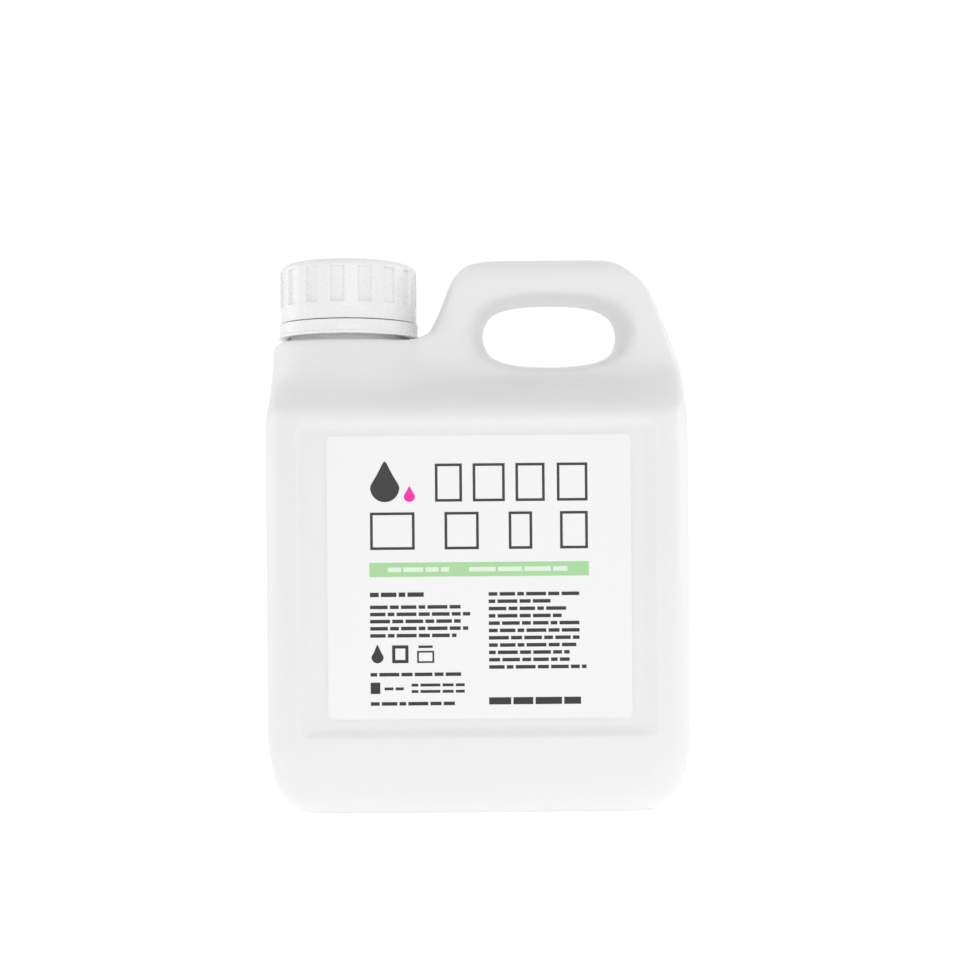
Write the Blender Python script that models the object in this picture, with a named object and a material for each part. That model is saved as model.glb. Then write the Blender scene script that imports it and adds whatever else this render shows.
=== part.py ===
"""A hand soap refill pack: a 1 litre blow-moulded jerrycan with a built-in handle, a 38 mm
tamper-evident screw cap, a front label and its liquid.

Metres, +Z up. The origin is under the middle of the base, the label faces -Y, the cap is on the -X
side and the handle on the +X side. Everything is symmetric front to back, apart from the label.
"""

import math

import bmesh
import bpy
from mathutils import Matrix, Vector

MM = 0.001

# ---- driving dimensions -------------------------------------------------------------------------

# Jerrycan body
HALF_WIDTH = 61.7 * MM
HALF_DEPTH = 38 * MM
WALL = 0.9 * MM
CORNER_RADIUS = 12.5 * MM  # upright corners
EAVE = 115.5 * MM  # the flat front ends here and the shoulder starts
SHOULDER_TOP = 125 * MM  # the shoulder meets the handle here
BASE_SIZE = Vector((53.4, 31.8)) * MM  # half width and half depth of the flat base
HEEL_SIZE = Vector((59.3, 35.6)) * MM
HEEL = 4.5 * MM
TAPER_TOP = 18.5 * MM  # below this height the sides draw in towards the heel

# Label recess, front and back
RECESS_EDGE = 50.4 * MM
RECESS_COVE = 47.4 * MM
RECESS_FLAT = 43.8 * MM
RECESS_BOTTOM = 23 * MM
RECESS_TOP = 111.5 * MM
RECESS_MARGIN = 2.4 * MM  # height of the coves along its top and bottom
RECESS_DEPTH = 1.6 * MM
COVE_DEPTH = 1.3 * MM
RECESS_CREASE = 0.7

# Round tower under the neck
NECK_X = -39.1 * MM
PLATFORM = 137.1 * MM
TOWER_FOOT = 123 * MM
TOWER_RADIUS = 23.4 * MM
TOWER_FOOT_RADIUS = 27.8 * MM

# Handle
HANDLE_HALF_DEPTH = 14.5 * MM
HANDLE_FOOT_SPREAD = 1 * MM
HANDLE_FOOT_REACH = 0.4 * MM  # how far its right end stands out where it meets the shoulder
HANDLE_EDGE_PULL = 1.3 * MM  # the long edges are drawn in by this, which rounds them
HANDLE_TOP = 161.4 * MM
HOLE_LEFT = 1.9 * MM
HOLE_RIGHT = 43.2 * MM
HOLE_BOTTOM = 128.9 * MM
HOLE_TOP = 149.1 * MM
HOLE_FLARE = Vector((3.8, 1.2)) * MM  # wider at the ends than along the top and bottom
LEFT_CORNER = Vector((1.6, 151.9)) * MM  # centres of the arcs at the handle's two top corners
LEFT_CORNER_RADIUS = 9.6 * MM
RIGHT_CORNER = Vector((37.6, 148.2)) * MM
RIGHT_CORNER_RADIUS = 13.2 * MM

# Neck finish
NECK_RADIUS = 17.5 * MM
NECK_BORE = 14.6 * MM
NECK_TOP = 157.6 * MM
BEAD_RADIUS = 18.6 * MM  # the bead that holds the tamper band down
BEAD_BOTTOM = 139.6 * MM
BEAD_TOP = 141.4 * MM

# Screw cap
CAP_RADIUS = 20.8 * MM  # over the ribs
CAP_INNER_RADIUS = 19 * MM
CAP_TOP = 160.6 * MM
CAP_TOP_WALL = 1.3 * MM
CAP_BOTTOM = 142.9 * MM
CAP_EDGE = Vector((3.2, 2.1)) * MM  # radial and upright size of the rounded top edge
RIB_COUNT = 16
FIRST_GROOVE = math.radians(-93.7)  # the groove nearest to the front, as an angle from +X
GROOVE_HALF_ANGLE = math.radians(5.4)
GROOVE_DEPTH = 0.85 * MM
GROOVE_BOTTOM = 147.8 * MM
GROOVE_TOP = 158.1 * MM

# Tamper band
BAND_RADIUS = 21.4 * MM
BAND_INNER_RADIUS = 18.95 * MM
BAND_BOTTOM = 138.4 * MM
BAND_TOP = 142.55 * MM
BAND_CHAMFER = 0.5 * MM

# Sealing disc in the cap
LINER_RADIUS = 18.4 * MM

# Label
LABEL_WIDTH = 85.4 * MM
LABEL_CENTRE_X = 0.5 * MM
LABEL_BOTTOM = 28 * MM
LABEL_TOP = 107.6 * MM
LABEL_THICKNESS = 0.3 * MM
LABEL_CORNER = 1.5 * MM

# Liquid, and the gap between pieces that touch
FILL_HEIGHT = 122.4 * MM
GAP = 0.3 * MM
LIQUID_GAP = 0.4 * MM

# ---- the cage that the jerrycan is smoothed from ------------------------------------------------

# Upright cuts across the width. The first seven go round the tower, the rest divide the handle.
TOWER_COLUMNS = [-17 * MM, -31 * MM, -RECESS_FLAT, -RECESS_COVE, -RECESS_EDGE, -56 * MM, -HALF_WIDTH]
LEG_COLUMN = -7 * MM
HOLE_COLUMNS = [3 * MM, 12 * MM, 34 * MM, RECESS_FLAT]
RIGHT_COLUMNS = [RECESS_FLAT, RECESS_COVE, RECESS_EDGE, 56 * MM, HALF_WIDTH]
# Cuts across the depth: halfway up the shoulder, and the lines that round the handle.
EAVE_LINE = 30 * MM
MIDDLE_LINE = 7.5 * MM
# Level cuts, and how wide the tower and the handle are at each.
RECESS_ROWS = [RECESS_BOTTOM + step * RECESS_MARGIN for step in range(3)]
RECESS_ROWS += [RECESS_TOP - step * RECESS_MARGIN for step in range(3)]
BODY_ROWS = [HEEL, TAPER_TOP, *RECESS_ROWS]
TOWER_ROWS = {130 * MM: 25.4 * MM, 133.5 * MM: 24.3 * MM, PLATFORM: TOWER_RADIUS}
LAST_HOLE_ROW = 148.4 * MM
LEFT_EDGE = {139.4 * MM: -14.6 * MM, 143 * MM: -12.5 * MM, LAST_HOLE_ROW: -10.2 * MM, 154 * MM: -8.2 * MM}
RIGHT_EDGE = {
    130 * MM: 61.3 * MM,
    133.5 * MM: 60.1 * MM,
    PLATFORM: 58.7 * MM,
    139.4 * MM: 57.9 * MM,
    143 * MM: 56.5 * MM,
    LAST_HOLE_ROW: 54.3 * MM,
    154 * MM: 51.6 * MM,
}
RING_STEP = math.radians(18)  # between the cage's points round the tower
EDGE_SLANT = math.radians(20)  # how far the handle's side edges face upwards
SMOOTH_LEVELS = 1
FLAT_ANGLE = math.radians(0.5)  # neighbouring faces flatter than this are joined
KEPT_INSIDE = 0.3  # share of the inner surface's faces that is kept
ROUND_STEPS = 48
NEAR = 0.3 * MM  # margin when telling the cage's rows and columns apart


# ---- small tools --------------------------------------------------------------------------------


def material(name, colour, roughness, transmission=0.0):
    """A plain Principled material with a linear colour."""
    made = bpy.data.materials.new(name)
    made.use_nodes = True
    shader = made.node_tree.nodes["Principled BSDF"]
    shader.inputs["Base Color"].default_value = (*colour, 1)
    shader.inputs["Roughness"].default_value = roughness
    shader.inputs["Metallic"].default_value = 0
    shader.inputs["Transmission Weight"].default_value = transmission
    return made


def add_object(name, bm, look=None):
    """An object from a bmesh. With no material it is a helper, hidden from renders."""
    bmesh.ops.recalc_face_normals(bm, faces=bm.faces)
    mesh = bpy.data.meshes.new(name)
    bm.to_mesh(mesh)
    bm.free()
    made = bpy.data.objects.new(name, mesh)
    bpy.context.scene.collection.objects.link(made)
    if look is None:
        made.hide_render = True
        made.display_type = "WIRE"
    else:
        mesh.materials.append(look)
    return made


def shade_round(made):
    """Smooth shading that keeps the sharp edges of a turned piece."""
    made.data.shade_smooth()
    made.data.set_sharp_from_angle(angle=math.radians(35))


def same(a, b):
    return abs(a - b) < 0.01 * MM


def slice_along(bm, axis, places):
    """Cut every face that crosses one of these planes."""
    for place in places:
        normal = Vector((0, 0, 0))
        normal[axis] = 1
        everything = bm.verts[:] + bm.edges[:] + bm.faces[:]
        bmesh.ops.bisect_plane(
            bm, geom=everything, plane_co=normal * place, plane_no=normal, dist=1e-6
        )


def grow_up(bm, start, top, leftmost):
    """Extrude the handle's strip of the level faces at one height, from a column onwards, to another."""
    faces = []
    for face in bm.faces:
        middle = face.calc_center_median()
        level = all(same(vert.co.z, start) for vert in face.verts)
        if level and abs(middle.y) < HANDLE_HALF_DEPTH and middle.x > leftmost:
            faces.append(face)
    grown = bmesh.ops.extrude_face_region(bm, geom=faces)["geom"]
    bmesh.ops.delete(bm, geom=faces, context="FACES")
    lifted = [item for item in grown if isinstance(item, bmesh.types.BMVert)]
    bmesh.ops.translate(bm, verts=lifted, vec=(0, 0, top - start))


def turned(profile, angles):
    """A profile of (radius, height) points turned about the neck's axis.

    A profile that starts on the axis also ends on it. Any other is joined up into a ring.
    """
    bm = bmesh.new()
    rings = []
    for radius, height in profile:
        if radius == 0:
            rings.append([bm.verts.new((NECK_X, 0, height))])
            continue
        ring = []
        for angle in angles:
            spot = (NECK_X + radius * math.cos(angle), radius * math.sin(angle), height)
            ring.append(bm.verts.new(spot))
        rings.append(ring)
    pairs = list(zip(rings, rings[1:]))
    if profile[0][0] > 0:
        pairs.append((rings[-1], rings[0]))
    for lower, upper in pairs:
        for here in range(len(angles)):
            after = (here + 1) % len(angles)
            corners = []
            for ring, place in ((lower, here), (lower, after), (upper, after), (upper, here)):
                vert = ring[place % len(ring)]
                if vert not in corners:
                    corners.append(vert)
            bm.faces.new(corners)
    return bm


def even_angles(count):
    return [2 * math.pi * step / count for step in range(count)]


def cut_with(made, other, operation):
    """A live EXACT Boolean of one object with another."""
    modifier = made.modifiers.new(f"{operation.title()} {other.name}", "BOOLEAN")
    modifier.operation = operation
    modifier.solver = "EXACT"
    modifier.object = other


# ---- the jerrycan's cage ------------------------------------------------------------------------


def sliced_block():
    """The cage before it is shaped: a block with the tower and handle grown from its deck."""
    bm = bmesh.new()
    size = Vector((2 * HALF_WIDTH, 2 * HALF_DEPTH, EAVE))
    place = Matrix.Translation((0, 0, EAVE / 2)) @ Matrix.Diagonal((*size, 1))
    bmesh.ops.create_cube(bm, size=1, matrix=place)
    slice_along(bm, 0, sorted({*TOWER_COLUMNS[:-1], LEG_COLUMN, *HOLE_COLUMNS, *RIGHT_COLUMNS[:-1]}))
    slice_along(bm, 1, (-EAVE_LINE, -HANDLE_HALF_DEPTH, HANDLE_HALF_DEPTH, EAVE_LINE))
    slice_along(bm, 2, BODY_ROWS)
    grow_up(bm, EAVE, PLATFORM, -HALF_WIDTH)
    grow_up(bm, PLATFORM, HANDLE_TOP, TOWER_COLUMNS[0])
    slice_along(bm, 2, [*TOWER_ROWS, *LEFT_EDGE])
    open_finger_hole(bm)
    slice_along(bm, 1, (-MIDDLE_LINE, 0, MIDDLE_LINE))
    return bm


def in_hole(x, z):
    across = HOLE_COLUMNS[0] - NEAR < x < HOLE_COLUMNS[-1] + NEAR
    return across and min(TOWER_ROWS) - NEAR < z < LAST_HOLE_ROW + NEAR


def open_finger_hole(bm):
    """Remove the handle's front and back faces over the hole and join the two rims."""
    faces = []
    for face in bm.faces:
        middle = face.calc_center_median()
        if same(abs(middle.y), HANDLE_HALF_DEPTH) and in_hole(middle.x, middle.z):
            faces.append(face)
    rim = {edge for face in faces for edge in face.edges if sum(f in faces for f in edge.link_faces) == 1}
    bmesh.ops.delete(bm, geom=faces, context="FACES")
    bmesh.ops.bridge_loops(bm, edges=[edge for edge in rim if edge.is_valid])


def tower_point(x, y, radius):
    """A cage point on or inside a tower ring. Points on the ring are spread evenly round it."""
    column = min(range(len(TOWER_COLUMNS)), key=lambda number: abs(TOWER_COLUMNS[number] - x))
    rank = round(abs(y) / MIDDLE_LINE)  # 0 on the middle line, 2 at the handle's face
    inward = 1.0
    if column == 0:
        step = rank
    elif column == len(TOWER_COLUMNS) - 1:
        step = 10 - rank
    else:
        step = 2 + column
        inward = abs(y) / HANDLE_HALF_DEPTH
    angle = math.copysign(step * RING_STEP, y)
    around = NECK_X + radius * math.cos(angle)
    return max(around, -HALF_WIDTH), radius * math.sin(angle) * inward


def hole_point(x, z, flared):
    """A cage point on the rim of the finger hole, a slot with round ends."""
    radius = (HOLE_TOP - HOLE_BOTTOM) / 2
    middle = (HOLE_TOP + HOLE_BOTTOM) / 2
    centre_x = min(max(x, HOLE_LEFT + radius), HOLE_RIGHT - radius)
    outward = Vector((x - centre_x, z - middle)).normalized()
    spot = Vector((centre_x, middle)) + outward * radius
    if flared:
        spot += Vector((outward.x * HOLE_FLARE.x, outward.y * HOLE_FLARE.y))
    return spot


def outline_point(spot, facing, y):
    """A point on the handle's outer edge, drawn in towards the middle at the front and back."""
    share = (abs(y) / HANDLE_HALF_DEPTH) ** 4
    drawn = spot - Vector((math.cos(facing), math.sin(facing))) * HANDLE_EDGE_PULL * share
    depth = y - math.copysign(HANDLE_EDGE_PULL * 0.6 * share, y)
    return Vector((drawn.x, depth, drawn.y))


def handle_top_point(x, y):
    """A cage point along the top of the handle, with an arc at each end."""
    if x > HOLE_COLUMNS[2] + NEAR:
        place = min(range(5), key=lambda number: abs(RIGHT_COLUMNS[number] - x))
        facing = math.radians(86 - 12 * place)
        return outline_point(arc(RIGHT_CORNER, RIGHT_CORNER_RADIUS, facing), facing, y)
    if x < HOLE_COLUMNS[0] - NEAR:
        facing = math.radians(146 if x < LEG_COLUMN - NEAR else 118)
        return outline_point(arc(LEFT_CORNER, LEFT_CORNER_RADIUS, facing), facing, y)
    return outline_point(Vector((x, HANDLE_TOP)), math.pi / 2, y)


def arc(centre, radius, angle):
    return centre + Vector((math.cos(angle), math.sin(angle))) * radius


def handle_side_point(x, y, z):
    """A cage point of the handle below its top: an outer edge, a rim of the hole, or between."""
    row = min(RIGHT_EDGE, key=lambda height: abs(height - z))
    on_left = same(x, TOWER_COLUMNS[0])
    if on_left and row in LEFT_EDGE:
        return outline_point(Vector((LEFT_EDGE[row], z)), math.pi - EDGE_SLANT, y)
    if same(x, HALF_WIDTH):
        return outline_point(Vector((RIGHT_EDGE[row], z)), EDGE_SLANT, y)
    if in_hole(x, z):
        spot = hole_point(x, z, flared=same(abs(y), HANDLE_HALF_DEPTH))
        return Vector((spot.x, y, spot.y))
    beside = hole_point(math.copysign(HALF_WIDTH, x), z, flared=True).x
    if x > HOLE_COLUMNS[-1]:
        share = (x - HOLE_COLUMNS[-1]) / (HALF_WIDTH - HOLE_COLUMNS[-1])
        return Vector((beside + (RIGHT_EDGE[row] - beside) * share, y, z))
    if same(x, LEG_COLUMN):
        edge = LEFT_EDGE.get(row, tower_point(TOWER_COLUMNS[0], HANDLE_HALF_DEPTH, TOWER_RADIUS)[0])
        return Vector(((beside + edge) / 2, y, z))
    return Vector((x, y, z))


def body_size(z):
    """Half width and half depth of the body at this height."""
    if same(z, 0):
        return BASE_SIZE
    if same(z, HEEL):
        return HEEL_SIZE
    return Vector((HALF_WIDTH, HALF_DEPTH))


def recess_depth(x, z):
    """How far the label recess sinks the front at a cage point."""
    if abs(x) > RECESS_COVE + NEAR or not RECESS_BOTTOM + NEAR < z < RECESS_TOP - NEAR:
        return 0
    return COVE_DEPTH if same(abs(x), RECESS_COVE) else RECESS_DEPTH


def wall_point(x, y, z):
    """A cage point of the body's upright walls or its base, with the upright corners rounded."""
    centre = Vector((HALF_WIDTH - CORNER_RADIUS, HALF_DEPTH - CORNER_RADIUS))
    on_wall = same(abs(x), HALF_WIDTH) or same(abs(y), HALF_DEPTH)
    if on_wall and abs(x) > centre.x and abs(y) > centre.y:
        outward = Vector((abs(x), abs(y))) - centre
        rounded = centre + outward.normalized() * CORNER_RADIUS
        x, y = math.copysign(rounded.x, x), math.copysign(rounded.y, y)
    if same(abs(y), HALF_DEPTH):
        y -= math.copysign(recess_depth(x, z), y)
    size = body_size(z)
    return Vector((x * size.x / HALF_WIDTH, y * size.y / HALF_DEPTH, z))


def shoulder_foot(x, y):
    """Where the shoulder meets the tower, left of the handle, or the handle itself."""
    if x < TOWER_COLUMNS[0] + NEAR:
        around, depth = tower_point(x, y, TOWER_FOOT_RADIUS)
        return Vector((around, depth, TOWER_FOOT))
    spread = HANDLE_FOOT_SPREAD if same(abs(y), HANDLE_HALF_DEPTH) else 0
    reach = HANDLE_FOOT_REACH if same(x, HALF_WIDTH) else 0
    return Vector((x + reach, y + math.copysign(spread, y), SHOULDER_TOP))


def cage_point(x, y, z):
    """The shaped place of a cage point, from its place on the sliced block."""
    if z < EAVE - NEAR or same(abs(y), HALF_DEPTH):
        return wall_point(x, y, z)
    if same(z, EAVE):
        if same(abs(y), EAVE_LINE):
            eave = wall_point(x, math.copysign(HALF_DEPTH, y), z)
            foot = shoulder_foot(x, math.copysign(HANDLE_HALF_DEPTH, y))
            return (eave + foot) / 2
        return shoulder_foot(x, y)
    if same(z, HANDLE_TOP):
        return handle_top_point(x, y)
    on_tower = x < TOWER_COLUMNS[0] + NEAR and z < PLATFORM + NEAR
    if on_tower:
        row = min(TOWER_ROWS, key=lambda height: abs(height - z))
        return Vector((*tower_point(x, y, TOWER_ROWS[row]), z))
    return handle_side_point(x, y, z)


def crease_recess(bm):
    """A crisp edge round each label recess."""
    crease = bm.edges.layers.float.new("crease_edge")
    for edge in bm.edges:
        middle = (edge.verts[0].co + edge.verts[1].co) / 2
        across = abs(middle.x) < RECESS_EDGE + NEAR
        along = RECESS_BOTTOM - NEAR < middle.z < RECESS_TOP + NEAR
        on_side = same(abs(middle.x), RECESS_EDGE) and along
        on_end = across and (same(middle.z, RECESS_BOTTOM) or same(middle.z, RECESS_TOP))
        if same(abs(middle.y), HALF_DEPTH) and (on_side or on_end):
            edge[crease] = RECESS_CREASE


def jerrycan_cage():
    bm = sliced_block()
    crease_recess(bm)
    for vert in bm.verts:
        vert.co = cage_point(*vert.co)
    return bm


def add_smoothed(name, look=None, drawn_in=0.0):
    """The jerrycan's closed outer shape, or a lighter mesh of that shape drawn in by a distance."""
    made = add_object(name, jerrycan_cage(), look)
    smooth = made.modifiers.new("Smooth the cage", "SUBSURF")
    smooth.levels = SMOOTH_LEVELS
    smooth.render_levels = SMOOTH_LEVELS
    fewer = made.modifiers.new("Fewer faces", "DECIMATE")
    if drawn_in:
        fewer.ratio = KEPT_INSIDE
        inward = made.modifiers.new("Draw in", "DISPLACE")
        inward.mid_level = 0
        inward.strength = -drawn_in
    else:
        fewer.decimate_type = "DISSOLVE"
        fewer.angle_limit = FLAT_ANGLE
    made.data.shade_smooth()
    return made


# ---- the pieces ---------------------------------------------------------------------------------


def add_bottle():
    """The jerrycan: a hollow shell, open at the neck."""
    natural_hdpe = material("natural HDPE", (0.86, 0.87, 0.87), 0.38, 0.15)
    bottle = add_smoothed("bottle", natural_hdpe)
    cavity = add_smoothed("bottle cavity", drawn_in=WALL)
    neck_foot = PLATFORM - 0.6 * WALL
    lead_in = 0.5 * MM
    neck = add_object(
        "neck blank",
        turned(
            [
                (0, neck_foot),
                (NECK_RADIUS, neck_foot),
                (NECK_RADIUS, BEAD_BOTTOM),
                (BEAD_RADIUS, BEAD_BOTTOM + lead_in),
                (BEAD_RADIUS, BEAD_TOP - lead_in),
                (NECK_RADIUS, BEAD_TOP),
                (NECK_RADIUS, NECK_TOP - lead_in),
                (NECK_RADIUS - lead_in, NECK_TOP),
                (0, NECK_TOP),
            ],
            even_angles(ROUND_STEPS),
        ),
    )
    bore_bottom = PLATFORM - 3 * WALL
    bore_top = NECK_TOP + 2 * WALL
    bore = add_object(
        "neck bore",
        turned(
            [(0, bore_bottom), (NECK_BORE, bore_bottom), (NECK_BORE, bore_top), (0, bore_top)],
            even_angles(ROUND_STEPS),
        ),
    )
    cut_with(bottle, cavity, "DIFFERENCE")
    cut_with(bottle, neck, "UNION")
    cut_with(bottle, bore, "DIFFERENCE")


def add_liquid():
    """The soap: the inside of the bottle, filled to just below the neck."""
    soap = material("liquid soap", (0.9, 0.93, 0.9), 0.05, 0.9)
    liquid = add_smoothed("liquid_soap", soap, drawn_in=WALL + LIQUID_GAP)
    headspace = bmesh.new()
    size = Vector((3 * HALF_WIDTH, 4 * HALF_DEPTH, HANDLE_TOP))
    place = Matrix.Translation((0, 0, FILL_HEIGHT + size.z / 2)) @ Matrix.Diagonal((*size, 1))
    bmesh.ops.create_cube(headspace, size=1, matrix=place)
    cut_with(liquid, add_object("headspace", headspace), "DIFFERENCE")


def cap_angles():
    """The corners of the ribs and grooves, with one more point in the middle of each rib."""
    angles = []
    pitch = 2 * math.pi / RIB_COUNT
    for number in range(RIB_COUNT):
        groove = FIRST_GROOVE + number * pitch
        angles += [groove - GROOVE_HALF_ANGLE, groove + GROOVE_HALF_ANGLE, groove + pitch / 2]
    return angles


def add_cap():
    """The screw cap, with its origin on the neck's axis."""
    rounded = [
        (CAP_RADIUS, CAP_TOP - CAP_EDGE.y),
        (CAP_RADIUS - 0.18 * CAP_EDGE.x, CAP_TOP - 0.45 * CAP_EDGE.y),
        (CAP_RADIUS - 0.5 * CAP_EDGE.x, CAP_TOP - 0.13 * CAP_EDGE.y),
        (CAP_RADIUS - CAP_EDGE.x, CAP_TOP),
    ]
    cap = turned(
        [
            (0, CAP_TOP - CAP_TOP_WALL),
            (CAP_INNER_RADIUS, CAP_TOP - CAP_TOP_WALL),
            (CAP_INNER_RADIUS, CAP_BOTTOM),
            (CAP_RADIUS, CAP_BOTTOM),
            (CAP_RADIUS, GROOVE_BOTTOM),
            (CAP_RADIUS, GROOVE_TOP),
            *rounded,
            (0, CAP_TOP),
        ],
        cap_angles(),
    )
    cap.normal_update()
    grooves = []
    for face in cap.faces:
        middle = face.calc_center_median()
        turn = (math.atan2(middle.y, middle.x - NECK_X) - FIRST_GROOVE) % (2 * math.pi / RIB_COUNT)
        in_groove = min(turn, 2 * math.pi / RIB_COUNT - turn) < GROOVE_HALF_ANGLE / 2
        outside = math.hypot(middle.x - NECK_X, middle.y) > CAP_INNER_RADIUS + NEAR
        if in_groove and outside and GROOVE_BOTTOM < middle.z < GROOVE_TOP:
            grooves.append(face)
    bmesh.ops.recalc_face_normals(cap, faces=cap.faces)
    bmesh.ops.inset_individual(cap, faces=grooves, thickness=0.12 * MM, depth=-GROOVE_DEPTH)
    made = add_object("screw_cap", cap, material("moulded polypropylene", (0.88, 0.88, 0.88), 0.3))
    move_origin(made, Vector((NECK_X, 0, CAP_BOTTOM)))
    shade_round(made)


def move_origin(made, spot):
    """Put an object's origin on its joint's axis without moving its shape."""
    made.data.transform(Matrix.Translation(-spot))
    made.location = spot


def add_liner():
    """The sealing disc, between the neck's rim and the inside of the cap's top."""
    bottom = NECK_TOP + GAP
    top = CAP_TOP - CAP_TOP_WALL - GAP
    disc = turned(
        [(0, bottom), (LINER_RADIUS, bottom), (LINER_RADIUS, top), (0, top)],
        even_angles(ROUND_STEPS),
    )
    made = add_object("cap_liner", disc, material("polyethylene foam", (0.8, 0.8, 0.78), 0.7))
    move_origin(made, Vector((NECK_X, 0, bottom)))
    shade_round(made)


def add_band():
    """The tamper band, which stays round the neck, held down by the neck's bead."""
    ring = turned(
        [
            (BAND_INNER_RADIUS, BAND_BOTTOM),
            (BAND_RADIUS - BAND_CHAMFER, BAND_BOTTOM),
            (BAND_RADIUS, BAND_BOTTOM + BAND_CHAMFER),
            (BAND_RADIUS, BAND_TOP - BAND_CHAMFER),
            (BAND_RADIUS - BAND_CHAMFER, BAND_TOP),
            (BAND_INNER_RADIUS, BAND_TOP),
        ],
        even_angles(ROUND_STEPS),
    )
    made = add_object("tamper_band", ring, material("band polypropylene", (0.87, 0.87, 0.87), 0.32))
    shade_round(made)


def add_label():
    """The front label: a thin sheet with small round corners, in front of the recess's flat."""
    back = -(HALF_DEPTH - RECESS_DEPTH) - GAP
    bm = bmesh.new()
    size = Vector((LABEL_WIDTH, LABEL_THICKNESS, LABEL_TOP - LABEL_BOTTOM))
    middle = Vector((LABEL_CENTRE_X, back - LABEL_THICKNESS / 2, (LABEL_TOP + LABEL_BOTTOM) / 2))
    bmesh.ops.create_cube(bm, size=1, matrix=Matrix.Translation(middle) @ Matrix.Diagonal((*size, 1)))
    corners = [edge for edge in bm.edges if same(edge.verts[0].co.x, edge.verts[1].co.x)]
    corners = [edge for edge in corners if same(edge.verts[0].co.z, edge.verts[1].co.z)]
    bmesh.ops.bevel(bm, geom=corners, offset=LABEL_CORNER, segments=3, profile=0.5, affect="EDGES")
    add_object("front_label", bm, material("label film", (0.9, 0.9, 0.9), 0.45))


def main():
    for old in list(bpy.data.objects):
        bpy.data.objects.remove(old, do_unlink=True)
    add_bottle()
    add_liquid()
    add_cap()
    add_liner()
    add_band()
    add_label()


main()
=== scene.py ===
# %% [markdown]
# # A hand soap refill pack
# A one litre jerrycan of milky natural plastic with a built-in handle, a white ribbed screw cap over
# a tamper band, and a plain label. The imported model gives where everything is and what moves. This
# lesson gives each piece its smooth shape and its finish, then sets up a small white studio.

import math

import bmesh
import bpy
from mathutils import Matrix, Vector


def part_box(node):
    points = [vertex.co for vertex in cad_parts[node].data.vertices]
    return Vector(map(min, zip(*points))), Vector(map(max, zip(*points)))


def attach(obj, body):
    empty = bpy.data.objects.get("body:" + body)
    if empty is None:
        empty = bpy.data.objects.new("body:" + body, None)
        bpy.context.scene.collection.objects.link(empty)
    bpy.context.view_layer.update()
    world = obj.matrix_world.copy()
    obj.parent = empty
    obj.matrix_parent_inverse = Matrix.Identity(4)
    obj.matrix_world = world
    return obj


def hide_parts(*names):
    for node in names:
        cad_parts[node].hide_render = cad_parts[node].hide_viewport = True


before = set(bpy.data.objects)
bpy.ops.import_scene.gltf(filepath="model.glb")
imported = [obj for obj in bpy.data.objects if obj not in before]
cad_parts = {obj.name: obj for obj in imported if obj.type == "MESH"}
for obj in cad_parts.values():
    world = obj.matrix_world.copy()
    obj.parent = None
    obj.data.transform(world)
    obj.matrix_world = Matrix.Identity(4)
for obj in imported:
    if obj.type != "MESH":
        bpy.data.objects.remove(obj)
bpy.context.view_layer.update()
MM = 0.001

# %% [markdown]
# ## Places that the imported model gives
# The body's width and the heights of the cap, band, disc and soap start from boxes of the imported model,
# so the smooth pieces sit where the solid ones do. The neck's middle comes from the cap, and the label's
# outline from the label.

# %% Measure the imported pieces
bottle_low, bottle_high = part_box("bottle")
cap_low, cap_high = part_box("screw_cap")
band_low, band_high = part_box("tamper_band")
liner_low, liner_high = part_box("cap_liner")
label_low, label_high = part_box("front_label")
liquid_low, liquid_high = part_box("liquid_soap")

HALF_WIDTH = -bottle_low.x
HALF_DEPTH = 38 * MM
NECK_X = (cap_low.x + cap_high.x) / 2
CAP_RADIUS = 20.8 * MM
CAP_TOP = cap_high.z
print(f"half width {HALF_WIDTH / MM:.2f} mm, neck at x {NECK_X / MM:.2f} mm")

# %% [markdown]
# ## Small tools for working as by hand
# Most steps are: add a primitive, go into edit mode, pick some faces or edges by their place, and
# use an operator on them. An operator acts on everything selected, so each step starts from nothing
# selected. These few helpers keep that short.


# %% Start, pick and finish
def leave_edit():
    if bpy.context.mode != "OBJECT":
        bpy.ops.object.mode_set(mode="OBJECT")


def make_active(piece):
    leave_edit()
    bpy.ops.object.select_all(action="DESELECT")
    piece.select_set(True)
    bpy.context.view_layer.objects.active = piece


def edit(piece, kind="FACE"):
    make_active(piece)
    bpy.ops.object.mode_set(mode="EDIT")
    bpy.ops.mesh.select_mode(type=kind)
    bpy.ops.mesh.select_all(action="DESELECT")


def pick_faces(piece, wanted):
    """Select the faces for which wanted(middle, normal) is true."""
    edit(piece, "FACE")
    bm = bmesh.from_edit_mesh(piece.data)
    for face in bm.faces:
        face.select_set(wanted(face.calc_center_median(), face.normal))
    bmesh.update_edit_mesh(piece.data)


def pick_edges(piece, wanted):
    """Select the edges for which wanted(one end, the other end) is true."""
    edit(piece, "EDGE")
    bm = bmesh.from_edit_mesh(piece.data)
    for edge in bm.edges:
        edge.select_set(wanted(edge.verts[0].co, edge.verts[1].co))
    bmesh.update_edit_mesh(piece.data)


def slice_across(piece, axis, places):
    """Cut the whole mesh with a plane at each place along an axis."""
    normal = Vector((0, 0, 0))
    normal[axis] = 1
    edit(piece)
    for place in places:
        bpy.ops.mesh.select_all(action="SELECT")
        bpy.ops.mesh.bisect(plane_co=normal * place, plane_no=normal, threshold=1e-6)


def fixed(piece):
    """Put a piece's place, turn and size into its mesh."""
    make_active(piece)
    bpy.ops.object.transform_apply(location=True, rotation=True, scale=True)
    return piece


def finish_with(piece, kind, **settings):
    """Add a modifier with these settings and apply it."""
    make_active(piece)
    modifier = piece.modifiers.new(kind.title(), kind)
    for name, value in settings.items():
        setattr(modifier, name, value)
    bpy.ops.object.modifier_apply(modifier=modifier.name)
    return piece


def count(piece):
    return sum(len(face.vertices) - 2 for face in piece.data.polygons)


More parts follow.
